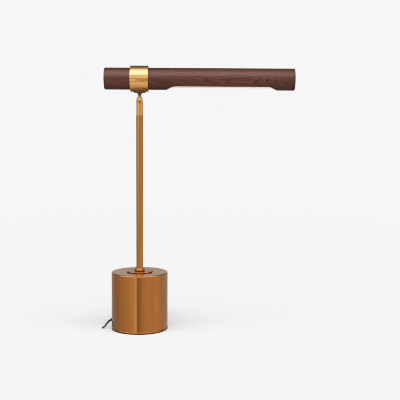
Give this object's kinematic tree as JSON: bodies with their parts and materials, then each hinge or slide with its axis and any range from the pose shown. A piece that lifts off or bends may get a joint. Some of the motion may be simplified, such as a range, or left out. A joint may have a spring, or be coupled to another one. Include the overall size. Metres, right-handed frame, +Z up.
{
  "type": "table lamp",
  "caption": "Table lamp with a tubular wooden light bar in a brass ring, on a tilting and swivelling knuckle, slim brass stem and weighted drum base",
  "frame": {"origin": "centre of the foot pad's underside, on the table", "axes": "+Z up along the stem, +X along the light bar towards its long end, +Y to the back, away from the pictured side"},
  "size_m": [0.3856, 0.1975, 0.5312],
  "materials": {
    "brass_antique": "brushed, antique brass under clear lacquer",
    "brass_satin": "satin, fine-turned brass",
    "steel": "zinc-plated, satin",
    "iron": "cast, black paint, matt",
    "aluminium": "extruded, satin",
    "walnut": "dark walnut, open grain, satin oil",
    "rubber": "matt black",
    "plastic": "moulded, fine matt",
    "cord": "black PVC jacket, satin",
    "wire": "silicone insulation",
    "board": "solder mask, components in place",
    "led_board": "white solder mask",
    "diffuser": "frosted opal acrylic, lit",
    "fabric": "hook and loop band"
  },
  "bodies": {
    "stand": {"foot_pad": "rubber", "base_plate": "brass_antique", "plate_screw_1": "steel", "plate_screw_2": "steel", "plate_screw_3": "steel", "base_shell": "brass_antique", "base_weight": "iron", "threaded_rod": "steel", "rod_washer": "steel", "rod_nut_lower": "steel", "rod_nut_middle": "steel", "rod_nut_upper": "steel", "board_tray": "plastic", "dimmer_board": "board", "cord_bushing": "rubber", "inlet_wire": "cord", "touch_ring": "rubber", "touch_disc": "brass_antique", "stem_collar": "brass_antique", "stem_bush": "steel", "stem_tube": "brass_antique", "stem_wire": "wire", "swivel_post": "brass_satin", "cord_lead": "cord", "cord_coil": "cord", "cord_tail": "cord", "cord_tie": "fabric", "plug_adapter": "plastic", "plug_relief": "rubber", "plug_blade_left": "steel", "plug_blade_right": "steel"},
    "swivel": {"knuckle_fork": "brass_satin", "hinge_screw": "steel", "swivel_washer": "steel", "swivel_nut": "steel"},
    "head": {"head_neck": "brass_satin", "saddle_screw_1": "steel", "saddle_screw_2": "steel", "ring_clamp": "brass_satin", "ring_grub_screw": "steel", "wood_tube": "walnut", "end_cap_right": "walnut", "end_cap_left": "walnut", "heat_sink": "aluminium", "led_board": "led_board", "diffuser": "diffuser", "head_wire": "wire"}
  },
  "joints": [
    {"name": "head_swivel", "type": "hinge", "parent": "stand", "child": "swivel", "pos_m": [0, 0, 0.4415], "axis": [0, 0, 1], "range_deg": [-170, 170]},
    {"name": "head_tilt", "type": "hinge", "parent": "swivel", "child": "head", "pos_m": [0, 0, 0.4637], "axis": [1, 0, 0], "range_deg": [-90, 90]}
  ]
}
